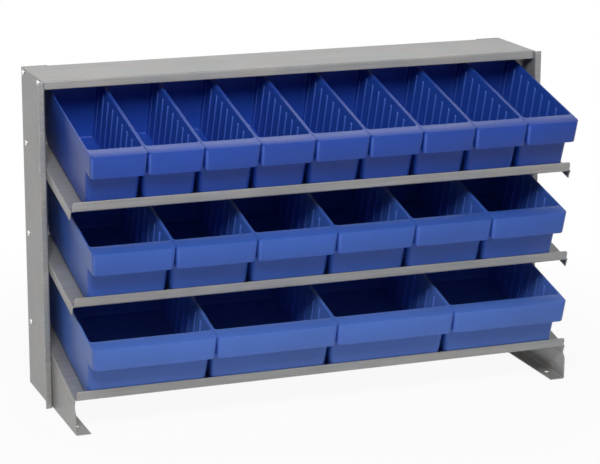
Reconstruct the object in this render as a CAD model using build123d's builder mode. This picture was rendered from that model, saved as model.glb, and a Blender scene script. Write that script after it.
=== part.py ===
from build123d import *
from math import cos, radians, sin, tan
import os

os.makedirs("parts", exist_ok=True)

# Frame: +X right, +Y to the back, +Z up. The origin is the centre of the feet's bolt holes, at bench level.

# Rack, in mm
overall_width = 914.4
rack_height = 562.0
upright_depth = 157.0
sheet = 1.5
bend_radius = 1.5
upright_flange = 9.6
rear_return = 44.0
seat_gap = 0.2

# Feet
foot_length = 307.0
foot_sheet = 1.5
foot_flange = 26.4
foot_hole_radius = 4.5
foot_hole_setback = 42.7
foot_hole_inset = 13.2
foot_corner = 5.0
foot_top_gap = 0.6

# Top cover
cover_setback = 8.0
cover_lip = 14.0

# Sloping shelves
shelf_slope = 13.7
first_shelf_height = 58.3
shelf_spacing = 158.7
shelf_setback = 1.0
lip_height = 17.8
lip_end_inset = 3.0
lip_corner_radius = 4.0
side_flange = 15.4
flange_front_slant = 3.5
side_fold_radius = 1.0

# Screws and nuts
screw_radius = 2.5
screw_hole_radius = 2.75
screw_head_radius = 5.0
screw_head_height = 2.6
screw_tip = 1.0
nut_across_flats = 8.0
nut_height = 4.0
nut_hole_radius = 2.6
shelf_screw_drop = 10.0
shelf_front_screw_setback = 30.0
shelf_rear_screw_setback = 27.0
cover_screw_drop = 7.1
cover_front_screw_setback = 35.8
cover_rear_screw_setback = 17.4

# Drawers
drawer_height = 108.5
drawer_length = 295.3
drawer_wall = 2.6
drawer_floor = 2.6
side_draft = 2.4
front_draft = 3.0
back_draft = 1.0
drawer_corner_radius = 8.5
drawer_foot_radius = 6.0
floor_fillet = 3.5
hood_reach = 26.0
hood_height = 39.0
drawer_gap = 0.35
drawer_clearance = 0.3

# Divider ribs inside the drawers
rib_count = 8
rib_pitch = 28.7
rib_width = 6.0
rib_depth = 1.6
rib_root = 0.5
rib_rim_gap = 12.0
rib_back_gap = 8.0

# Rows, from the top: name, drawer count, and the room left beside the row at the shelf's left and right end
rows = [
    ("top", 9, 20.9, 13.65),
    ("middle", 6, 20.9, 30.3),
    ("bottom", 4, 17.9, 25.9),
]
shelf_names = [name for name, _, _, _ in rows]

# Places that follow from the sizes
panel_outer = overall_width / 2 - upright_flange
panel_inner = panel_outer - sheet
foot_front = -foot_length / 2
upright_rear = foot_length / 2
upright_front = upright_rear - upright_depth
cover_front = upright_front + cover_setback
inside_rear = upright_rear - sheet - bend_radius - seat_gap
lip_front = foot_front + shelf_setback
slope = radians(shelf_slope)
up_slope = Vector(0, cos(slope), sin(slope))
off_deck = Vector(0, -sin(slope), cos(slope))
shelf_half = panel_inner - seat_gap
shelf_length = (inside_rear - lip_front) / cos(slope)
front_screw_y = upright_front + shelf_front_screw_setback
rear_screw_y = upright_rear - shelf_rear_screw_setback
cover_screw_ys = (upright_front + cover_front_screw_setback, upright_rear - cover_rear_screw_setback)
cover_screw_z = rack_height - cover_screw_drop
screw_length = 2 * sheet + seat_gap + nut_height + screw_tip
hood_bottom = drawer_height - hood_height


def shelf_level(name):
    """Height of the lip's front bottom corner of the named shelf."""
    place = len(shelf_names) - 1 - shelf_names.index(name)
    return first_shelf_height + place * shelf_spacing


def side_plane(x, name):
    """Upright plane along the slope: local x runs up the slope, local y off the deck."""
    return Plane(origin=(x, lip_front, shelf_level(name)), x_dir=up_slope, z_dir=(1, 0, 0))


def height_below_deck(y, name, drop):
    """World height of a point at y that lies a drop under the shelf's top face."""
    run = (y - lip_front - (drop - sheet) * sin(slope)) / cos(slope)
    return shelf_level(name) + run * sin(slope) - (drop - sheet) * cos(slope)


def shelf_screw_places():
    """The y and z of every shelf screw on one upright."""
    for name in shelf_names:
        for y in (front_screw_y, rear_screw_y):
            yield y, height_below_deck(y, name, shelf_screw_drop)


def cover_screw_places():
    """The y and z of every cover screw on one upright."""
    for y in cover_screw_ys:
        yield y, cover_screw_z


def facing_out(x, side):
    """Plane at x whose normal points away from the rack's middle; its local x is the world's Y."""
    return Plane(origin=(x, 0, 0), x_dir=(0, 1, 0), z_dir=(side, 0, 0))


def on_side(places, side):
    """Places on a facing_out plane, whose local y turns over with the side."""
    return [(y, side * z) for y, z in places]


def finish(piece, name):
    """Name a finished piece and write its file."""
    piece.part.label = name
    export_step(piece.part, f"parts/{name}.step")


# Uprights: a side panel with its front edge folded outward and its rear edge folded inward
def make_upright(name, side):
    with BuildPart() as upright:
        with BuildSketch(Plane.XY):
            with BuildLine():
                Polyline(
                    (side * (panel_outer + upright_flange), upright_front),
                    (side * panel_inner, upright_front),
                    (side * panel_inner, upright_rear - sheet),
                    (side * (panel_inner - rear_return), upright_rear - sheet),
                    (side * (panel_inner - rear_return), upright_rear),
                    (side * panel_outer, upright_rear),
                    (side * panel_outer, upright_front + sheet),
                    (side * (panel_outer + upright_flange), upright_front + sheet),
                    close=True,
                )
            make_face()
        extrude(amount=rack_height)
        folds = upright.edges().filter_by(Axis.Z)
        outside = [(panel_inner, upright_front), (panel_outer, upright_rear)]
        inside = [(panel_outer, upright_front + sheet), (panel_inner, upright_rear - sheet)]
        fillet(edges_at(folds, outside, side), radius=bend_radius + sheet)
        fillet(edges_at(upright.edges().filter_by(Axis.Z), inside, side), radius=bend_radius)
        with BuildSketch(facing_out(side * panel_inner, side)):
            with Locations(*on_side([*shelf_screw_places(), *cover_screw_places()], side)):
                Circle(screw_hole_radius)
        extrude(amount=sheet, mode=Mode.SUBTRACT)
    finish(upright, name)


def edges_at(edges, places, side):
    """Upright edges that stand at the given x and y."""
    wanted = [Vector(side * x, y) for x, y in places]
    return [e for e in edges if any((Vector(e.center().X, e.center().Y) - w).length < 1e-3 for w in wanted)]


make_upright("left_upright", -1)
make_upright("right_upright", 1)


# Feet: an angle along the bench whose upright leg runs just under the bottom shelf's side flange
def make_foot(name, side):
    outer = panel_inner - seat_gap
    crest_drop = side_flange + foot_top_gap
    front_top = height_below_deck(foot_front, "bottom", crest_drop)
    rear_top = height_below_deck(inside_rear, "bottom", crest_drop)
    with BuildPart() as foot:
        with BuildSketch(facing_out(side * (outer - foot_sheet), side)):
            with BuildLine():
                Polyline(
                    (foot_front, 0),
                    (inside_rear, 0),
                    (inside_rear, side * rear_top),
                    (foot_front + foot_corner, side * (front_top + foot_corner * tan(slope))),
                    (foot_front, side * (front_top - foot_corner)),
                    close=True,
                )
            make_face()
        extrude(amount=foot_sheet)
        with BuildSketch(Plane.XY):
            with Locations((side * (outer - foot_flange / 2), (foot_front + inside_rear) / 2)):
                Rectangle(foot_flange, inside_rear - foot_front)
            hole_x = side * (outer - foot_hole_inset)
            with Locations((hole_x, foot_front + foot_hole_setback), (hole_x, -foot_front - foot_hole_setback)):
                Circle(foot_hole_radius, mode=Mode.SUBTRACT)
        extrude(amount=foot_sheet)
        fold = foot.edges().filter_by(Axis.Y).filter_by_position(Axis.Z, -0.01, 0.01)
        fillet(fold.sort_by(Axis.X)[-1 if side > 0 else 0], radius=bend_radius + foot_sheet)
    finish(foot, name)


make_foot("left_foot", -1)
make_foot("right_foot", 1)

# Top cover: a shallow folded lid between the uprights
cover_half = panel_inner - seat_gap
cover_middle = (cover_front + inside_rear) / 2
cover_depth = inside_rear - cover_front
with BuildPart() as top_cover:
    with BuildSketch(Plane.XY.offset(rack_height - cover_lip)):
        with Locations((0, cover_middle)):
            Rectangle(2 * cover_half, cover_depth)
    extrude(amount=cover_lip)
    with BuildSketch(Plane.XY.offset(rack_height - cover_lip)):
        with Locations((0, cover_middle)):
            Rectangle(2 * (cover_half - sheet), cover_depth - 2 * sheet)
    extrude(amount=cover_lip - sheet, mode=Mode.SUBTRACT)
    crown = top_cover.faces().sort_by(Axis.Z)[-1]
    fillet(crown.edges().filter_by(Axis.X), radius=bend_radius + sheet)
    for side in (-1, 1):
        with BuildSketch(facing_out(side * (cover_half - sheet), side)):
            with Locations(*on_side(cover_screw_places(), side)):
                Circle(screw_hole_radius)
        extrude(amount=sheet, mode=Mode.SUBTRACT)
finish(top_cover, "top_cover")


# Shelves: a sloping tray, open at the sides above, with flanges folded down against the uprights.
# The flanges' rear ends are cut upright, to clear the fold behind them.
def make_shelf(row_name):
    with BuildPart() as shelf:
        with BuildSketch(side_plane(0, row_name)):
            with Locations((shelf_length / 2, lip_height)):
                RectangleRounded(shelf_length, 2 * lip_height, bend_radius + sheet)
            with Locations((shelf_length / 2, lip_height)):
                RectangleRounded(shelf_length - 2 * sheet, 2 * (lip_height - sheet), bend_radius, mode=Mode.SUBTRACT)
            with Locations((shelf_length / 2, 1.5 * lip_height)):
                Rectangle(shelf_length, lip_height, mode=Mode.SUBTRACT)
        extrude(amount=shelf_half, both=True)
        for side in (-1, 1):
            with BuildSketch(side_plane(side * (shelf_half - sheet / 2), row_name)):
                with BuildLine():
                    Polyline(
                        (bend_radius, sheet),
                        (shelf_length - bend_radius, sheet),
                        (shelf_length - bend_radius, 0),
                        (shelf_length - bend_radius - (side_flange - sheet) * tan(slope), sheet - side_flange),
                        (flange_front_slant, sheet - side_flange),
                        (bend_radius, 0),
                        close=True,
                    )
                make_face()
            extrude(amount=sheet / 2, both=True)
        # The lips stop short of the side folds, with rounded upper corners
        for run in (0, shelf_length - sheet):
            with BuildSketch(lip_plane(row_name, run)):
                with Locations((0, sheet + lip_height)):
                    Rectangle(2 * shelf_half, 2 * lip_height)
                with Locations((0, lip_height / 2)):
                    RectangleRounded(
                        2 * (shelf_half - lip_end_inset),
                        lip_height,
                        lip_corner_radius,
                        mode=Mode.SUBTRACT,
                    )
                with Locations((0, sheet)):
                    Rectangle(2 * (shelf_half - lip_end_inset), lip_height, mode=Mode.SUBTRACT)
            extrude(amount=-sheet, mode=Mode.SUBTRACT)
        deck_middle = shelf_corner(row_name) + up_slope * (shelf_length / 2) + off_deck * sheet
        side_folds = [deck_middle + Vector(side * shelf_half, 0, 0) for side in (-1, 1)]
        fillet([nearest_edge(shelf, point) for point in side_folds], radius=side_fold_radius)
        for side in (-1, 1):
            places = [
                (y, height_below_deck(y, row_name, shelf_screw_drop)) for y in (front_screw_y, rear_screw_y)
            ]
            with BuildSketch(facing_out(side * (shelf_half - sheet), side)):
                with Locations(*on_side(places, side)):
                    Circle(screw_hole_radius)
            extrude(amount=sheet, mode=Mode.SUBTRACT)
    finish(shelf, f"{row_name}_shelf")


def nearest_edge(piece, point):
    """The piece's edge that passes closest to a point."""
    return piece.edges().sort_by_distance(point)[0]


def shelf_corner(name):
    """Front bottom corner of the named shelf's lip, on the rack's middle."""
    return Vector(0, lip_front, shelf_level(name))


def lip_plane(name, run):
    """Plane across the slope at a run up it: local x is the world's X, local y off the deck."""
    return Plane(origin=shelf_corner(name) + up_slope * run, x_dir=(1, 0, 0), z_dir=-up_slope)


for row_name in shelf_names:
    make_shelf(row_name)


# Fasteners: pan head screws outside the uprights, and nuts against the flanges inside
def make_screws(name, places):
    with BuildPart() as screws:
        for side in (-1, 1):
            seats = on_side(places, side)
            with BuildSketch(facing_out(side * panel_outer, side)):
                with Locations(*seats):
                    Circle(screw_head_radius)
            extrude(amount=screw_head_height, taper=20)
            with BuildSketch(facing_out(side * panel_outer, side)):
                with Locations(*seats):
                    Circle(screw_radius)
            extrude(amount=-screw_length)
    finish(screws, name)


def make_nuts(name, places):
    nut_seat = panel_inner - seat_gap - sheet
    with BuildPart() as nuts:
        for side in (-1, 1):
            with BuildSketch(facing_out(side * nut_seat, side)):
                with Locations(*on_side(places, side)):
                    RegularPolygon(nut_across_flats / 2, 6, major_radius=False)
                    Circle(nut_hole_radius, mode=Mode.SUBTRACT)
            extrude(amount=-nut_height)
    finish(nuts, name)


make_screws("shelf_screws", list(shelf_screw_places()))
make_nuts("shelf_nuts", list(shelf_screw_places()))
make_screws("top_screws", list(cover_screw_places()))
make_nuts("top_nuts", list(cover_screw_places()))


# Drawers: a drafted tub with a hollow hood across the front, open below, whose top is the rim's ledge
lip_top_contact = sheet + drawer_clearance + (lip_height - sheet) * tan(radians(front_draft))
hood_front = lip_top_contact - drawer_height * tan(radians(front_draft)) - hood_reach
drawer_back = hood_front + drawer_length


def half_width(width, v):
    """Half the drawer's outer width at a height above its foot."""
    return width / 2 - (drawer_height - v) * tan(radians(side_draft))


def wall_front(v):
    """Run of the front wall's outer face at a height above the drawer's foot."""
    return lip_top_contact - v * tan(radians(front_draft))


def wall_back(v):
    """Run of the back wall's outer face at a height above the drawer's foot."""
    return drawer_back - (drawer_height - v) * tan(radians(back_draft))


def tub_size(width, v, front, inset):
    """Middle run, width and length of the drawer's outline at one height, drawn in by an inset."""
    back = wall_back(v) - inset
    front = front + inset
    return (front + back) / 2, 2 * (half_width(width, v) - inset), back - front


def rib_plane(plane, width, side, v, run):
    """Plane on the inner face of a side wall, facing into the drawer; its local x runs up the slope."""
    lean = radians(side_draft)
    across = plane.x_dir * side
    centre = plane.origin + across * (half_width(width, v) - drawer_wall) + plane.y_dir * run + plane.z_dir * v
    inward = across * -cos(lean) + plane.z_dir * sin(lean)
    return Plane(origin=centre, x_dir=plane.y_dir, z_dir=inward)


def drawer_pattern(row_name, width):
    """The drawer of one row, standing on the middle of its shelf."""
    foot = shelf_corner(row_name) + off_deck * (sheet + drawer_clearance)
    plane = Plane(origin=foot, x_dir=(1, 0, 0), z_dir=off_deck)
    rib_top = drawer_height - rib_rim_gap
    rib_foot = drawer_floor / 2
    rib_middle = (rib_top + rib_foot) / 2
    rib_row_centre = wall_back(rib_middle) - drawer_wall - rib_back_gap - (rib_count - 1) * rib_pitch / 2
    up = Axis(plane.origin, plane.z_dir)
    lower_tub = [(0, wall_front(0)), (hood_bottom, wall_front(hood_bottom))]
    upper_tub = [(hood_bottom, hood_front), (drawer_height, hood_front)]
    hollow = [(drawer_floor, wall_front(drawer_floor)), (drawer_height, wall_front(drawer_height))]
    with BuildPart() as drawer:
        for sections, inset, mode in (
            (lower_tub, 0, Mode.ADD),
            (upper_tub, 0, Mode.ADD),
            (hollow, drawer_wall, Mode.SUBTRACT),
        ):
            for v, front in sections:
                middle, across, along = tub_size(width, v, front, inset)
                with BuildSketch(plane.offset(v)):
                    with Locations((0, middle)):
                        RectangleRounded(across, along, drawer_corner_radius - inset)
            loft(mode=mode)
        for v in (hood_bottom, drawer_height - drawer_wall):
            pocket_front = hood_front + drawer_wall
            pocket_back = wall_front(v)
            with BuildSketch(plane.offset(v)):
                with Locations((0, (pocket_front + pocket_back) / 2)):
                    Rectangle(2 * (half_width(width, v) - drawer_wall), pocket_back - pocket_front)
        loft(mode=Mode.SUBTRACT)
        foot_face, floor_face = drawer.faces().filter_by(up).sort_by(up)[:2]
        fillet(floor_face.edges(), radius=floor_fillet)
        foot_face = drawer.faces().filter_by(up).sort_by(up)[0]
        fillet(foot_face.edges(), radius=drawer_foot_radius)
        for side in (-1, 1):
            seat = rib_plane(plane, width, side, rib_middle, rib_row_centre)
            with BuildSketch(seat.offset(-rib_root)):
                with GridLocations(rib_pitch, 0, rib_count, 1):
                    SlotOverall(rib_top - rib_foot, rib_width, rotation=90)
            extrude(amount=rib_root + rib_depth)
    return drawer.part


for row_name, count, left_room, right_room in rows:
    pitch = (2 * shelf_half - left_room - right_room) / count
    pattern = drawer_pattern(row_name, pitch - drawer_gap)
    for number in range(count):
        with BuildPart() as drawer:
            with Locations((left_room - shelf_half + (number + 0.5) * pitch, 0, 0)):
                add(pattern)
        finish(drawer, f"drawer_{row_name}_{number + 1}")
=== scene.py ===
import math

import bmesh
import bpy
from mathutils import Matrix, Vector


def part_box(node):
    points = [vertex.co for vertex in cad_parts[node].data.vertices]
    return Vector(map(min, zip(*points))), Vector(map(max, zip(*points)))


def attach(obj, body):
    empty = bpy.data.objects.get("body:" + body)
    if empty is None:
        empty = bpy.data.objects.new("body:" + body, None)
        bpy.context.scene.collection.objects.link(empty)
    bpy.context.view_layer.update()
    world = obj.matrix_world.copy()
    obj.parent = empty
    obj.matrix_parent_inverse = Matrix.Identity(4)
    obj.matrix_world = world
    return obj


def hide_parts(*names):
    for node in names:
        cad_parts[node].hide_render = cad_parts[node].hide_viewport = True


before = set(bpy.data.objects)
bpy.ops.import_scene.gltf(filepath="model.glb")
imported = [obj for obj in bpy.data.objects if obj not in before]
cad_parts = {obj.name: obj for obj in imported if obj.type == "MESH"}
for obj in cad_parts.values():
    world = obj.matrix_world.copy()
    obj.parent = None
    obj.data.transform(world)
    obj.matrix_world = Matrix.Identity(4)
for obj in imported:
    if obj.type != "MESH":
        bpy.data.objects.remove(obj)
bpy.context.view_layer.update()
print("frame loaded with", len(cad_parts), "nodes")

# Lengths are in metres, angles in degrees. X runs right, Y to the back, Z up.
rackPlan = {
    "slope": 13.7,  # tilt of every shelf
    "lipFront": -0.1525,  # y of the lips' front bottom corners
    "firstShelf": 0.0583,  # height of that corner on the bottom shelf
    "shelfSpacing": 0.1587,
    "sheet": 0.0015,
    "panelOuter": 0.4476,  # x of the uprights' outer faces
    "panelInner": 0.4461,
    "seatGap": 0.0002,  # between the uprights and the flanges inside them
    "uprightFront": -0.0035,
    "uprightRear": 0.1535,
    "height": 0.562,
}
rowNames = ("top", "middle", "bottom")
slope = math.radians(rackPlan["slope"])


def shelfLevel(row):
    return rackPlan["firstShelf"] + (len(rowNames) - 1 - rowNames.index(row)) * rackPlan["shelfSpacing"]


# A Flow is one output socket, and the usual signs put math nodes on it
class Flow:
    def __init__(self, tree, socket):
        self.tree = tree
        self.socket = socket

    def math(self, operation, *others):
        return mathNode(self.tree, operation, self, *others)

    def __add__(self, other):
        return self.math("ADD", other)

    def __sub__(self, other):
        return self.math("SUBTRACT", other)

    def __rsub__(self, other):
        return mathNode(self.tree, "SUBTRACT", other, self)

    def __mul__(self, other):
        return self.math("MULTIPLY", other)

    def __truediv__(self, other):
        return self.math("DIVIDE", other)


def feed(tree, socket, value):
    if isinstance(value, Flow):
        tree.links.new(value.socket, socket)
    elif value is not None:
        socket.default_value = value


def mathNode(tree, operation, *values):
    node = tree.nodes.new("ShaderNodeMath")
    node.operation = operation
    for socket, value in zip(node.inputs, values):
        feed(tree, socket, value)
    return Flow(tree, node.outputs[0])


def put(tree, kind, inputs=None, output=0, **settings):
    # Adds a node, sets its properties, feeds its inputs by name or number, and gives one output
    node = tree.nodes.new(kind)
    for name, value in settings.items():
        setattr(node, name, value)
    for key, value in (inputs or {}).items():
        feed(tree, node.inputs[key], value)
    return Flow(tree, node.outputs[output])


def vectorOf(tree, x=0.0, y=0.0, z=0.0):
    return put(tree, "ShaderNodeCombineXYZ", {0: x, 1: y, 2: z})


def choose(tree, index, values):
    # The value whose place in the list is the index
    node = tree.nodes.new("GeometryNodeIndexSwitch")
    node.data_type = "FLOAT"
    while len(node.index_switch_items) < len(values):
        node.index_switch_items.new()
    feed(tree, node.inputs[0], index)
    for place, value in enumerate(values):
        feed(tree, node.inputs[place + 1], value)
    return Flow(tree, node.outputs[0])


def pick(tree, condition, yes, no):
    # yes where the condition is 1, no where it is 0
    return condition * (yes - no) + no


def ownPosition(tree):
    node = tree.nodes.new("ShaderNodeSeparateXYZ")
    feed(tree, node.inputs[0], put(tree, "GeometryNodeInputPosition"))
    return [Flow(tree, output) for output in node.outputs]


def moved(tree, geometry, position):
    return put(tree, "GeometryNodeSetPosition", {"Geometry": geometry, "Position": position})


def cutAway(tree, geometry, *cutters):
    node = tree.nodes.new("GeometryNodeMeshBoolean")
    node.operation = "DIFFERENCE"
    node.solver = "EXACT"
    feed(tree, node.inputs[0], geometry)
    for cutter in cutters:
        feed(tree, node.inputs[1], cutter)
    return Flow(tree, node.outputs[0])


def rowOf(tree, part, count, start, step, turn):
    # Copies of the part along a line, all turned alike
    line = put(tree, "GeometryNodeMeshLine", {"Count": count, "Start Location": start, "Offset": step})
    return put(tree, "GeometryNodeInstanceOnPoints", {"Points": line, "Instance": part, "Rotation": turn})


def geometryTree(name, sizes, whole):
    # A Geometry Nodes tree with one named input for each size, and the sizes as Flows
    tree = bpy.data.node_groups.new(name, "GeometryNodeTree")
    for label in sizes:
        kind = "NodeSocketInt" if label in whole else "NodeSocketFloat"
        tree.interface.new_socket(label, in_out="INPUT", socket_type=kind)
    tree.interface.new_socket("Material", in_out="INPUT", socket_type="NodeSocketMaterial")
    tree.interface.new_socket("Geometry", in_out="OUTPUT", socket_type="NodeSocketGeometry")
    source = tree.nodes.new("NodeGroupInput")
    return tree, {socket.name: Flow(tree, socket) for socket in source.outputs if socket.name}


def endTree(tree, geometry, material, smoothAngle):
    # Realize Instances, smoothing by angle, Set Material, output
    made = put(tree, "GeometryNodeRealizeInstances", {0: geometry})
    made = put(tree, "GeometryNodeSetShadeSmooth", {0: made, "Shade Smooth": True}, domain="FACE")
    angle = put(tree, "GeometryNodeInputMeshEdgeAngle")
    limit = math.radians(smoothAngle)
    sharp = put(tree, "FunctionNodeCompare", {0: angle, 1: limit}, operation="GREATER_THAN")
    smoothing = {0: made, "Selection": sharp, "Shade Smooth": False}
    made = put(tree, "GeometryNodeSetShadeSmooth", smoothing, domain="EDGE")
    made = put(tree, "GeometryNodeSetMaterial", {0: made, "Material": material})
    target = tree.nodes.new("NodeGroupOutput")
    feed(tree, target.inputs[0], made)


sliverSize = 0.000002  # faces and edges thinner than this are dissolved


def growPiece(name, tree, values, material):
    # Runs the tree on a carrier object, and keeps the result as a plain mesh of triangles
    carrier = bpy.data.objects.new(name + "Carrier", bpy.data.meshes.new(name + "Carrier"))
    bpy.context.scene.collection.objects.link(carrier)
    modifier = carrier.modifiers.new("grow", "NODES")
    modifier.node_group = tree
    for item in tree.interface.items_tree:
        if item.item_type == "SOCKET" and item.in_out == "INPUT":
            if item.name in values:
                modifier[item.identifier] = values[item.name]
            elif item.name == "Material":
                modifier[item.identifier] = material
    graph = bpy.context.evaluated_depsgraph_get()
    mesh = bpy.data.meshes.new_from_object(carrier.evaluated_get(graph), depsgraph=graph)
    bpy.data.objects.remove(carrier)
    tidied = bmesh.new()
    tidied.from_mesh(mesh)
    bmesh.ops.triangulate(tidied, faces=tidied.faces)
    bmesh.ops.dissolve_degenerate(tidied, dist=sliverSize, edges=tidied.edges)
    tidied.to_mesh(mesh)
    tidied.free()
    mesh.name = name
    piece = bpy.data.objects.new(name, mesh)
    bpy.context.scene.collection.objects.link(piece)
    return piece


def tinted(tree, base, shade):
    # The base colour, lighter or darker by the shade
    grey = put(tree, "ShaderNodeCombineColor", {0: shade, 1: shade, 2: shade})
    return mixColour(tree, 1.0, base, grey, "MULTIPLY")


def newMaterial(name):
    material = bpy.data.materials.new(name)
    material.use_nodes = True
    tree = material.node_tree
    tree.nodes.clear()
    output = tree.nodes.new("ShaderNodeOutputMaterial")
    shader = tree.nodes.new("ShaderNodeBsdfPrincipled")
    tree.links.new(shader.outputs[0], output.inputs[0])
    return material, tree, shader


def mixColour(tree, amount, first, second, blend="MIX"):
    node = tree.nodes.new("ShaderNodeMix")
    node.data_type = "RGBA"
    node.blend_type = blend
    feed(tree, node.inputs["Factor"], amount)
    feed(tree, node.inputs[6], first)
    feed(tree, node.inputs[7], second)
    return Flow(tree, node.outputs[2])


def spread(tree, value, low, high, toLow=0.0, toHigh=1.0):
    return put(tree, "ShaderNodeMapRange", {0: value, 1: low, 2: high, 3: toLow, 4: toHigh})


def objectPlace(tree):
    return put(tree, "ShaderNodeTexCoord", output=3)


def noise(tree, place, scale, detail=2.0, roughness=0.5):
    return put(
        tree,
        "ShaderNodeTexNoise",
        {"Vector": place, "Scale": scale, "Detail": detail, "Roughness": roughness},
    )


def vary(tree, source, limits, reach=0.2):
    # Maps a noise, which lies about 0.5, to the limits; a smaller reach gives clearer patches
    return spread(tree, source, 0.5 - reach, 0.5 + reach, *limits)


def thinness(tree, reach, openness):
    # 1 on ribs and rims, 0 where the solid is deeper than the reach
    inner = tree.nodes.new("ShaderNodeAmbientOcclusion")
    inner.inside = True
    inner.only_local = True
    inner.samples = 8
    inner.inputs["Distance"].default_value = reach
    return spread(tree, Flow(tree, inner.outputs["AO"]), *openness)


enamel = {
    "colour": (0.412, 0.394, 0.374, 1.0),
    "coolColour": (0.382, 0.389, 0.393, 1.0),  # the paint's other tone, in clouds
    "toneScale": 15.3,
    "cloudScale": 9.0,
    "cloudShade": (0.92, 1.08),
    "fleckScale": 260.0,
    "fleckShade": (0.97, 1.03),
    "streakScale": (5.0, 190.0),  # along the rolled sheet and across it
    "streakShade": (0.88, 1.10),
    "peelScale": 620.0,  # orange peel
    "peelDepth": 0.00005,
    "peelStrength": 0.35,
    "roughness": (0.27, 0.38),
    "metallic": 0.31,  # aluminium flake in the paint
    "specular": 0.08,
    "edgeHighlightColour": (0.72, 0.72, 0.71, 1.0),  # painted highlight: a lighter grey mixed in along folds and cut edges
    "edgeHighlightShare": 0.55,
    "edgeSoftness": 0.0024,  # bevel radius at which folds and cut edges catch the light, and the width of their painted highlight
    "edgeTurn": (0.995, 0.88),  # cosine of the soft normal's turn, where the painted highlight starts and is full
}


def makeEnamel():
    material, tree, shader = newMaterial("greyEnamel")
    place = objectPlace(tree)
    clouds = noise(tree, place, enamel["cloudScale"], 4.0, 0.6)
    flecks = noise(tree, place, enamel["fleckScale"], 3.0, 0.7)
    along, across = enamel["streakScale"]
    rolled = put(tree, "ShaderNodeMapping", {"Vector": place, "Scale": (along, across, across)})
    streaks = noise(tree, rolled, 1.0, 3.0, 0.65)
    shade = vary(tree, clouds, enamel["cloudShade"])
    shade = shade * vary(tree, flecks, enamel["fleckShade"], 0.25)
    shade = shade * vary(tree, streaks, enamel["streakShade"])
    tones = vary(tree, noise(tree, place, enamel["toneScale"], 3.0, 0.6), (0.0, 1.0), 0.12)
    base = tinted(tree, mixColour(tree, tones, enamel["colour"], enamel["coolColour"]), shade)
    soft = put(tree, "ShaderNodeBevel", {"Radius": enamel["edgeSoftness"]}, samples=4)
    normal = put(tree, "ShaderNodeNewGeometry", output=1)
    alike = put(tree, "ShaderNodeVectorMath", {0: soft, 1: normal}, output=1, operation="DOT_PRODUCT")
    # Painted highlight: where the bevelled normal turns from the face's own, at folds and cut edges, the base
    # colour is lightened
    foldHighlight = spread(tree, alike, *enamel["edgeTurn"]) * enamel["edgeHighlightShare"]
    base = mixColour(tree, foldHighlight, base, enamel["edgeHighlightColour"])
    feed(tree, shader.inputs["Base Color"], base)
    satin = flecks * 0.5 + streaks * 0.5
    feed(tree, shader.inputs["Roughness"], vary(tree, satin, enamel["roughness"]))
    bumps = {
        "Strength": enamel["peelStrength"],
        "Distance": enamel["peelDepth"],
        "Height": noise(tree, place, enamel["peelScale"]),
        "Normal": soft,
    }
    feed(tree, shader.inputs["Normal"], put(tree, "ShaderNodeBump", bumps))
    shader.inputs["Specular IOR Level"].default_value = enamel["specular"]
    shader.inputs["Metallic"].default_value = enamel["metallic"]
    return material


plastic = {
    "colour": {  # one blue, lit and shaded for each row: painted shade on the top row, painted light on the lower rows
        "top": (0.018, 0.076, 0.450, 1.0),
        "middle": (0.050, 0.140, 0.570, 1.0),
        "bottom": (0.088, 0.200, 0.665, 1.0),
    },
    "deepShade": 0.88,  # how much darker the moulding's cloudy parts are
    "flowScale": 6.0,
    "speckleScale": 700.0,
    "speckleShade": (0.96, 1.04),
    "edgeHighlightColour": (0.110, 0.200, 0.640, 1.0),  # painted highlight: a lighter blue on thin edges, rims and rib crests
    "edgeReach": 0.0020,
    "edgeOpenness": (0.75, 0.35),  # open share seen from inside, where the painted highlight starts and is full
    "edgeHighlightShare": 0.55,
    "swellScale": 22.0,  # the slight sink and swell of a moulded wall
    "swellDepth": 0.0006,
    "swellStrength": 0.25,
    "grainScale": 1500.0,
    "grainDepth": 0.00003,
    "grainStrength": 0.4,
    "roughness": (0.36, 0.46),
    "specular": 0.38,
}


def makePlastic(row):
    # Each row gets its own copy of the blue: painted shade on the top row, painted light on the lower rows
    material, tree, shader = newMaterial("bluePlastic" + row.capitalize())
    place = objectPlace(tree)
    flow = noise(tree, place, plastic["flowScale"], 3.0, 0.55)
    speckle = noise(tree, place, plastic["speckleScale"], 2.0, 0.6)
    shade = vary(tree, flow, (plastic["deepShade"], 1.0), 0.15)
    shade = shade * vary(tree, speckle, plastic["speckleShade"])
    base = tinted(tree, plastic["colour"][row], shade)
    # Painted highlight: rims, thin edges and rib crests get a lighter blue in the base colour
    edge = thinness(tree, plastic["edgeReach"], plastic["edgeOpenness"]) * plastic["edgeHighlightShare"]
    feed(tree, shader.inputs["Base Color"], mixColour(tree, edge, base, plastic["edgeHighlightColour"]))
    feed(tree, shader.inputs["Roughness"], vary(tree, flow, plastic["roughness"]))
    normal = None
    for kind, roughness in (("swell", 0.5), ("grain", 0.6)):
        bumps = {
            "Strength": plastic[kind + "Strength"],
            "Distance": plastic[kind + "Depth"],
            "Height": noise(tree, place, plastic[kind + "Scale"], 2.0, roughness),
            "Normal": normal,
        }
        normal = put(tree, "ShaderNodeBump", bumps)
    feed(tree, shader.inputs["Normal"], normal)
    shader.inputs["Specular IOR Level"].default_value = plastic["specular"]
    return material


zinc = {
    "colour": (0.78, 0.78, 0.76, 1.0),
    "patchScale": 900.0,
    "patchShade": (0.92, 1.04),
    "scratchScale": 4200.0,
    "scratchDepth": 0.00002,
    "scratchStrength": 0.2,
    "roughness": (0.16, 0.34),
}


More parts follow.
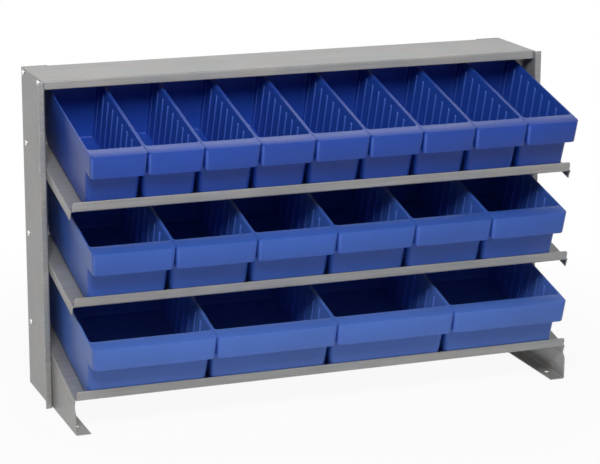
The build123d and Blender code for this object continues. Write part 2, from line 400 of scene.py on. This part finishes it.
def makeZinc():
    material, tree, shader = newMaterial("brightZinc")
    place = objectPlace(tree)
    patches = noise(tree, place, zinc["patchScale"], 3.0, 0.6)
    shade = vary(tree, patches, zinc["patchShade"])
    feed(tree, shader.inputs["Base Color"], tinted(tree, zinc["colour"], shade))
    feed(tree, shader.inputs["Roughness"], vary(tree, patches, zinc["roughness"], 0.25))
    shader.inputs["Metallic"].default_value = 1.0
    bumps = {
        "Strength": zinc["scratchStrength"],
        "Distance": zinc["scratchDepth"],
        "Height": noise(tree, place, zinc["scratchScale"], 2.0, 0.6),
    }
    feed(tree, shader.inputs["Normal"], put(tree, "ShaderNodeBump", bumps))
    return material


greyEnamel = makeEnamel()
bluePlastic = {row: makePlastic(row) for row in rowNames}
brightZinc = makeZinc()
print("materials made")

# Drawers: one moulding rule for three widths
drawerSizes = {
    "Height": 0.1085,
    "Length": 0.2953,
    "Wall": 0.0026,
    "Floor": 0.0026,
    "Side Draft": 2.4,
    "Front Draft": 3.0,
    "Back Draft": 1.0,
    "Corner Radius": 0.0085,
    "Foot Radius": 0.006,
    "Floor Fillet": 0.0035,
    "Edge Radius": 0.0007,
    "Hood Edge Radius": 0.0014,
    "Hood Reach": 0.026,
    "Hood Height": 0.039,
    "Front Contact": 0.00265,  # run of the front wall's foot from the lip's front face
    "Rib Count": 8,
    "Rib Pitch": 0.0287,
    "Rib Width": 0.0072,
    "Rib Depth": 0.0020,
    "Rib Rim Gap": 0.012,
    "Rib Back Gap": 0.008,
    "Stand": 0.0018,  # height of the drawer's foot off the shelf's underside
}
cornerSteps = 8
filletSteps = 4
mergeGap = 0.00001
leastRadius = 0.0005  # of a plan corner, however far its ring is inset
rounding = ((0.0, 1.0), (0.293, 0.293), (1.0, 0.0))  # a quarter circle's ends and its point at 45 degrees
pocketOvershoot = 0.002  # below the hood
pocketGap = 0.0002  # between the hood's pocket and the front wall
ribSunk = 0.2  # share of a rib's depth that is sunk in the wall
ribSegments = 12
ribRings = 8
ringTolerance = 0.05


def drawerTree():
    extra = ["Width", "Centre", "Lip Front", "Shelf Level", "Slope"]
    tree, s = geometryTree("drawerMoulding", [*drawerSizes, *extra], whole=["Rib Count"])

    def lean(angle):
        return s[angle].math("RADIANS").math("TANGENT")

    sideLean, frontLean, backLean = lean("Side Draft"), lean("Front Draft"), lean("Back Draft")
    height, wall, corner, edge = s["Height"], s["Wall"], s["Corner Radius"], s["Edge Radius"]
    hoodBottom = height - s["Hood Height"]
    hoodFront = s["Front Contact"] - height * frontLean - s["Hood Reach"]
    drawerBack = hoodFront + s["Length"]

    def halfWidth(v):
        return s["Width"] * 0.5 - (height - v) * sideLean

    def wallFront(v):
        return s["Front Contact"] - v * frontLean

    def wallBack(v):
        return drawerBack - (height - v) * backLean

    # The rings, from the middle of the foot up outside, over the rim and down inside to the floor's middle.
    # Each is (height, inset, 1 on the hood's front, 1 where only the front is inset, 1 where it closes)
    foot, fillet = s["Foot Radius"], s["Floor Fillet"]
    rings = [(0.0, foot, 0, 0, 1)]
    for step in range(filletSteps + 1):
        turn = math.pi / 2 * step / filletSteps
        rings.append((foot * (1 - math.cos(turn)), foot * (1 - math.sin(turn)), 0, 0, 0))
    rings.append((hoodBottom, 0.0, 0, 0, 0))
    lower = s["Hood Edge Radius"]
    rings += [(hoodBottom + lower * up, lower * inward, 1, 1, 0) for up, inward in rounding]
    rings += [(height - edge * up, edge * inward, 1, 0, 0) for inward, up in rounding]
    rings += [(height - edge * up, wall - edge * inward, 0, 0, 0) for up, inward in rounding]
    for step in range(filletSteps + 1):
        turn = math.pi / 2 * step / filletSteps
        up = s["Floor"] + fillet * (1 - math.sin(turn))
        rings.append((up, wall + fillet * (1 - math.cos(turn)), 0, 0, 0))
    rings.append((s["Floor"], wall + fillet, 0, 0, 1))

    # Sides 0 to 3 are the front left, front right, back right and back left corners, each with one more
    # point on the straight after it
    quarter = cornerSteps + 2
    around = 4 * quarter
    sheet = put(tree, "GeometryNodeMeshGrid", {"Vertices X": len(rings), "Vertices Y": around + 1})
    index = put(tree, "GeometryNodeInputIndex")
    ring = (index / (around + 1)).math("FLOOR")
    column = (index - ring * (around + 1)).math("MODULO", around)
    side = (column / quarter).math("FLOOR")
    step = column - side * quarter
    onStraight = step.math("GREATER_THAN", cornerSteps + 0.5)
    angle = (side + step.math("MINIMUM", cornerSteps) / cornerSteps + 2) * (math.pi / 2)
    atRight = side.math("COMPARE", 1.5, 0.6)
    atBack = side.math("GREATER_THAN", 1.5)
    sideColumn = onStraight * side.math("MODULO", 2.0)
    endColumn = onStraight * (1 - side.math("MODULO", 2.0))

    def ringValue(place):
        return choose(tree, ring, [entry[place] for entry in rings])

    v, inset, onHood, frontOnly, middle = (ringValue(place) for place in range(5))
    nearFront = (1 - atBack) * (1 - sideColumn)
    inset = inset * (1 - frontOnly * (1 - nearFront))
    across = halfWidth(v) - inset
    front = pick(tree, onHood, hoodFront, wallFront(v)) + inset
    back = wallBack(v) - inset
    radius = (corner - inset).math("MAXIMUM", leastRadius)
    x = (across - radius) * (atRight * 2 - 1) + radius * angle.math("COSINE")
    x = x * (1 - endColumn)
    y = pick(tree, atBack, back - radius, front + radius) + radius * angle.math("SINE")
    y = pick(tree, sideColumn, (front + radius).math("MAXIMUM", wallFront(hoodBottom) + corner), y)
    lowest, highest = front + across, back - across
    yMiddle = y.math("MAXIMUM", lowest).math("MINIMUM", highest)
    x = x * (1 - middle)
    y = pick(tree, middle, yMiddle, y)
    shell = moved(tree, sheet, vectorOf(tree, x, y, v))
    shell = put(tree, "GeometryNodeMergeByDistance", {0: shell, "Distance": mergeGap})

    # The hood's pocket, open below
    block = put(tree, "GeometryNodeMeshCube", {"Size": (2.0, 2.0, 2.0)})
    cubeX, cubeY, cubeZ = ownPosition(tree)
    isTop, isBack = cubeZ.math("GREATER_THAN", 0.0), cubeY.math("GREATER_THAN", 0.0)
    pocketV = pick(tree, isTop, height - wall, hoodBottom - pocketOvershoot)
    pocketY = pick(tree, isBack, wallFront(pocketV) - pocketGap, hoodFront + wall)
    pocketX = cubeX * (halfWidth(pocketV) - wall)
    pocket = moved(tree, block, vectorOf(tree, pocketX, pocketY, pocketV))
    shell = cutAway(tree, shell, pocket)

    # Divider ribs: a row of half capsules along each side wall
    ribTop, ribFoot = height - s["Rib Rim Gap"], s["Floor"] * 0.5
    ribMiddle = (ribTop + ribFoot) * 0.5
    ribReach = (ribTop - ribFoot) * 0.5 - s["Rib Width"] * 0.5

    def halfOf(value):
        # 1 above the ball's middle ring, -1 below it and 0 on it
        return value.math("SIGN") * value.math("ABSOLUTE").math("GREATER_THAN", ringTolerance)

    ball = put(
        tree,
        "GeometryNodeMeshUVSphere",
        {"Segments": ribSegments, "Rings": ribRings, "Radius": 1.0},
    )
    ballX, ballY, ballZ = ownPosition(tree)
    ribX = ballX.math("MAXIMUM", -ribSunk) * s["Rib Depth"]
    ribY = ballY * s["Rib Width"] * 0.5
    ribZ = ballZ * s["Rib Width"] * 0.5 + halfOf(ballZ) * ribReach
    rib = moved(tree, ball, vectorOf(tree, ribX, ribY, ribZ))
    pieces = [shell]
    for sign in (-1, 1):
        start = vectorOf(
            tree,
            (halfWidth(ribMiddle) - wall) * sign,
            wallBack(ribMiddle) - wall - s["Rib Back Gap"] - (s["Rib Count"] - 1) * s["Rib Pitch"],
            ribMiddle,
        )
        step = vectorOf(tree, 0.0, s["Rib Pitch"])
        turn = vectorOf(tree, 0.0, s["Side Draft"].math("RADIANS") * -1, math.pi if sign > 0 else 0.0)
        pieces.append(rowOf(tree, rib, s["Rib Count"], start, step, turn))
    joined = tree.nodes.new("GeometryNodeJoinGeometry")
    for piece in reversed(pieces):
        tree.links.new(piece.socket, joined.inputs[0])
    turned = s["Slope"].math("RADIANS")
    origin = vectorOf(
        tree,
        s["Centre"],
        s["Lip Front"] - s["Stand"] * turned.math("SINE"),
        s["Shelf Level"] + s["Stand"] * turned.math("COSINE"),
    )
    whole = Flow(tree, joined.outputs[0])
    tilt = vectorOf(tree, turned)
    placed = put(tree, "GeometryNodeTransform", {"Geometry": whole, "Translation": origin, "Rotation": tilt})
    endTree(tree, placed, s["Material"], smoothAngle=32.0)
    return tree


moulding = drawerTree()
drawers = [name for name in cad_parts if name.startswith("drawer_")]
for name in sorted(drawers):
    low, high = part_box(name)
    row = name.split("_")[1]
    values = dict(drawerSizes)
    values.update(
        {
            "Width": high.x - low.x,
            "Centre": (high.x + low.x) / 2,
            "Lip Front": rackPlan["lipFront"],
            "Shelf Level": shelfLevel(row),
            "Slope": rackPlan["slope"],
        }
    )
    piece = growPiece("moulded_" + name, moulding, values, bluePlastic[row])
    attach(piece, name)
    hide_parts(name)
print("drawers made:", len(drawers), "with", len(piece.data.polygons), "faces in the last")

# Screws and nuts: one of each is turned, then repeated up both uprights
fastenerSizes = {
    "Head Radius": 0.005,
    "Head Height": 0.0026,
    "Shank Radius": 0.0025,
    "Shank Length": 0.0082,
    "Tip Chamfer": 0.0005,
    "Recess Width": 0.001,
    "Recess Length": 0.005,
    "Recess Depth": 0.0013,
    "Across Flats": 0.008,
    "Nut Height": 0.004,
    "Nut Chamfer": 0.0006,
    "Bore Radius": 0.0026,
}
fastenerPlan = {
    "shelfDrop": 0.010,  # of a fastener below its shelf's top face
    "shelfSetbacks": (0.030, 0.027),  # from the upright's front and rear face
    "coverDrop": 0.0071,  # below the cover's top face
    "coverSetbacks": (0.0358, 0.0174),
    "turnSeed": 7,
}
fastenerMergeGap = 0.000005
screwColumns = 32
nutColumns = 48
tipShare = 0.8  # of the shank's radius at its tip
cornerReach = 1.16  # a hexagon's corner radius over half its width across flats, and a little more


def turnedPart(tree, profile, columns, flatHalf=None):
    # A profile of (place along X, radius, 1 where the hexagon limits it), turned about X from its low end up
    grid = put(tree, "GeometryNodeMeshGrid", {"Vertices X": len(profile), "Vertices Y": columns + 1})
    index = put(tree, "GeometryNodeInputIndex")
    ring = ((index + 0.5) / (columns + 1)).math("FLOOR")
    column = index - ring * (columns + 1)
    angle = column.math("MODULO", columns) * (2 * math.pi / columns)
    radius = choose(tree, ring, [entry[1] for entry in profile])
    if flatHalf is not None:
        across = (angle.math("MODULO", math.pi / 3) - math.pi / 6).math("COSINE")
        hexagon = radius.math("MINIMUM", flatHalf / across)
        radius = pick(tree, choose(tree, ring, [entry[2] for entry in profile]), hexagon, radius)
    place = vectorOf(
        tree,
        choose(tree, ring, [entry[0] for entry in profile]),
        radius * angle.math("COSINE"),
        radius * angle.math("SINE"),
    )
    made = put(tree, "GeometryNodeFlipFaces", {0: moved(tree, grid, place)})
    return put(tree, "GeometryNodeMergeByDistance", {0: made, "Distance": fastenerMergeGap})


def screwPart(tree, s):
    radius, height, shank = s["Head Radius"], s["Head Height"], s["Shank Radius"]
    tip = s["Shank Length"] * -1
    chamfered = [(tip, shank * tipShare), (tip + s["Tip Chamfer"], shank)]
    profile = [(tip, 0.0), *chamfered, (0.0, shank), (0.0, radius)]
    dome = [(0.3, 1.0), (0.55, 0.975), (0.78, 0.88), (0.92, 0.74), (0.99, 0.52), (1.0, 0.3), (1.0, 0.0)]
    profile += [(height * up, radius * out) for up, out in dome]
    cross = []
    for wide, tall in (("Recess Width", "Recess Length"), ("Recess Length", "Recess Width")):
        size = vectorOf(tree, s["Recess Depth"] * 2, s[wide], s[tall])
        block = put(tree, "GeometryNodeMeshCube", {"Size": size})
        onHead = {"Geometry": block, "Translation": vectorOf(tree, height)}
        cross.append(put(tree, "GeometryNodeTransform", onHead))
    return cutAway(tree, turnedPart(tree, profile, screwColumns), *cross)


def nutPart(tree, s):
    half, height = s["Across Flats"] * 0.5, s["Nut Height"]
    bevel, bore = s["Nut Chamfer"], s["Bore Radius"]
    outside = [(0.0, 0.98), (bevel * 0.5, 1.07), (bevel, cornerReach)]
    outside += [(height - along, out) for along, out in reversed(outside)]
    profile = [(0.0, bore, 0)] + [(along, half * out, 1) for along, out in outside]
    return turnedPart(tree, profile + [(height, bore, 0), (0.0, bore, 0)], nutColumns, half)


def fastenerTree(name, makePart, facing):
    # Two columns of the part on each upright; facing is 1 for outward and -1 for inward
    extra = ["Rows", "Row Spacing", "Front Y", "Front Z", "Rear Y", "Rear Z", "Face X", "Turn Seed"]
    tree, s = geometryTree(name, [*fastenerSizes, *extra], whole=["Rows", "Turn Seed"])
    part = makePart(tree, s)
    columns = tree.nodes.new("GeometryNodeJoinGeometry")
    for side in (-1, 1):
        for place, end in enumerate(("Front", "Rear")):
            start = vectorOf(tree, s["Face X"] * side, s[end + " Y"], s[end + " Z"])
            step = vectorOf(tree, 0.0, 0.0, s["Row Spacing"])
            seed = s["Turn Seed"] + 2 * side + place
            turn = put(tree, "FunctionNodeRandomValue", {2: 0.0, 3: 2 * math.pi, "Seed": seed}, output=1)
            turnedBack = math.pi if side * facing < 0 else 0.0
            copies = rowOf(tree, part, s["Rows"], start, step, vectorOf(tree, turn, 0.0, turnedBack))
            tree.links.new(copies.socket, columns.inputs[0])
    endTree(tree, Flow(tree, columns.outputs[0]), s["Material"], smoothAngle=38.0)
    return tree


def shelfFastenerZ(y):
    # Height of a bottom shelf fastener that stands at y
    drop = fastenerPlan["shelfDrop"] - rackPlan["sheet"]
    run = (y - rackPlan["lipFront"] - drop * math.sin(slope)) / math.cos(slope)
    return rackPlan["firstShelf"] + run * math.sin(slope) - drop * math.cos(slope)


fastenerRows = {}
for kind in ("shelf", "top"):
    front, rear = fastenerPlan["shelfSetbacks" if kind == "shelf" else "coverSetbacks"]
    ys = (rackPlan["uprightFront"] + front, rackPlan["uprightRear"] - rear)
    coverZ = rackPlan["height"] - fastenerPlan["coverDrop"]
    zs = [shelfFastenerZ(y) if kind == "shelf" else coverZ for y in ys]
    fastenerRows[kind] = {
        "Rows": len(rowNames) if kind == "shelf" else 1,
        "Row Spacing": rackPlan["shelfSpacing"],
        "Front Y": ys[0],
        "Front Z": zs[0],
        "Rear Y": ys[1],
        "Rear Z": zs[1],
    }
nutFace = rackPlan["panelInner"] - rackPlan["sheet"] - rackPlan["seatGap"]
fastenerTrees = {
    "screws": (fastenerTree("screwColumns", screwPart, 1), rackPlan["panelOuter"]),
    "nuts": (fastenerTree("nutColumns", nutPart, -1), nutFace),
}
for kind, rows in fastenerRows.items():
    for part, (tree, faceX) in fastenerTrees.items():
        values = {**fastenerSizes, **rows, "Face X": faceX, "Turn Seed": fastenerPlan["turnSeed"]}
        name = f"{kind}_{part}"
        piece = growPiece("turned_" + name, tree, values, brightZinc)
        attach(piece, "rack")
        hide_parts(name)
        print(name, "made with", len(piece.data.polygons), "faces")

# The sheet metal keeps its solids, with the enamel on them
for name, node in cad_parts.items():
    if not name.startswith("drawer_") and not name.endswith(("screws", "nuts")):
        node.data.materials.clear()
        node.data.materials.append(greyEnamel)
print("sheet metal painted")

# Floor, lights and camera
studio = {
    "white": (1.0, 1.0, 1.0, 1.0),
    "floorSize": 30.0,
    "floorColour": (0.90, 0.90, 0.90, 1.0),
    "floorTone": (0.985, 1.0),
    "toneScale": 3.0,
    "floorRoughness": 0.7,
    "floorSpecular": 0.2,
    "floorGlow": (0.93, 1.0),  # share of plain white in the floor that the camera sees, near the rack and far
    "glowReach": (0.5, 1.1),  # distance from the middle at which each share holds
    "worldFill": 0.04,
}
# Each lamp's power in watts, width and depth, place, and the point it faces
lamps = {
    "front": (43.0, (1.3, 0.9), (-0.75, -1.85, 1.95), (0.0, 0.0, 0.3)),
    "rear": (7.0, (1.6, 1.2), (0.5, 1.7, 1.9), (0.0, 0.0, 0.3)),
    "left": (1.5, (1.1, 1.3), (-2.4, -0.9, 1.1), (0.0, 0.0, 0.25)),
}
view = {
    "place": (-1.3228, -3.5568, 1.2397),
    "yaw": 20.44,  # turned to the right of +Y
    "pitch": 14.34,  # looking down
    "roll": 0.15,
    "lens": 135.2,  # in millimetres, as is the sensor
    "sensor": 36.0,
    "farthest": 60.0,
}


def seenDirectly(tree):
    # 1 for what the camera, a reflection or a clear piece shows, 0 for what only lights the object
    path = tree.nodes.new("ShaderNodeLightPath")
    rays = [Flow(tree, path.outputs[f"Is {kind} Ray"]) for kind in ("Camera", "Glossy", "Transmission")]
    return rays[0].math("MAXIMUM", rays[1]).math("MAXIMUM", rays[2])


def makeFloor():
    mesh = bpy.data.meshes.new("studioFloor")
    size = studio["floorSize"]
    corners = [(-size, -size, 0), (size, -size, 0), (size, size, 0), (-size, size, 0)]
    mesh.from_pydata(corners, [], [(0, 1, 2, 3)])
    floor = bpy.data.objects.new("studioFloor", mesh)
    bpy.context.scene.collection.objects.link(floor)
    material, tree, shader = newMaterial("paleFloor")
    place = objectPlace(tree)
    tone = vary(tree, noise(tree, place, studio["toneScale"]), studio["floorTone"])
    feed(tree, shader.inputs["Base Color"], tinted(tree, studio["floorColour"], tone))
    shader.inputs["Roughness"].default_value = studio["floorRoughness"]
    shader.inputs["Specular IOR Level"].default_value = studio["floorSpecular"]
    white = put(tree, "ShaderNodeEmission", {"Color": studio["white"], "Strength": 1.0})
    away = put(tree, "ShaderNodeVectorMath", {0: place}, output=1, operation="LENGTH")
    glow = spread(tree, away, *studio["glowReach"], *studio["floorGlow"])
    lit = Flow(tree, shader.outputs[0])
    seen = put(tree, "ShaderNodeMixShader", {0: seenDirectly(tree) * glow, 1: lit, 2: white})
    output = next(node for node in tree.nodes if node.type == "OUTPUT_MATERIAL")
    feed(tree, output.inputs[0], seen)
    mesh.materials.append(material)


def makeLamp(name, power, size, place, target):
    lamp = bpy.data.lights.new(name, "AREA")
    lamp.energy = power
    lamp.shape = "RECTANGLE"
    lamp.size, lamp.size_y = size
    holder = bpy.data.objects.new(name, lamp)
    holder.visible_camera = False
    holder.location = place
    holder.rotation_euler = (Vector(target) - Vector(place)).to_track_quat("-Z", "Y").to_euler()
    bpy.context.scene.collection.objects.link(holder)


def makeWorld():
    world = bpy.data.worlds.new("studioWorld")
    bpy.context.scene.world = world
    world.use_nodes = True
    tree = world.node_tree
    tree.nodes.clear()
    output = tree.nodes.new("ShaderNodeOutputWorld")
    strength = pick(tree, seenDirectly(tree), 1.0, studio["worldFill"])
    glow = put(tree, "ShaderNodeBackground", {"Color": studio["white"], "Strength": strength})
    feed(tree, output.inputs[0], glow)


def makeCamera():
    camera = bpy.data.cameras.new("photoCamera")
    camera.lens = view["lens"]
    camera.sensor_width = view["sensor"]
    camera.clip_end = view["farthest"]
    holder = bpy.data.objects.new("photoCamera", camera)
    turn = (
        Matrix.Rotation(-math.radians(view["yaw"]), 4, "Z")
        @ Matrix.Rotation(math.pi / 2 - math.radians(view["pitch"]), 4, "X")
        @ Matrix.Rotation(math.radians(view["roll"]), 4, "Z")
    )
    holder.matrix_world = Matrix.Translation(view["place"]) @ turn
    bpy.context.scene.collection.objects.link(holder)
    bpy.context.scene.camera = holder


makeFloor()
for name, settings in lamps.items():
    makeLamp(name + "Lamp", *settings)
makeWorld()
makeCamera()
bpy.context.scene.view_settings.view_transform = "Standard"
print("studio set up")
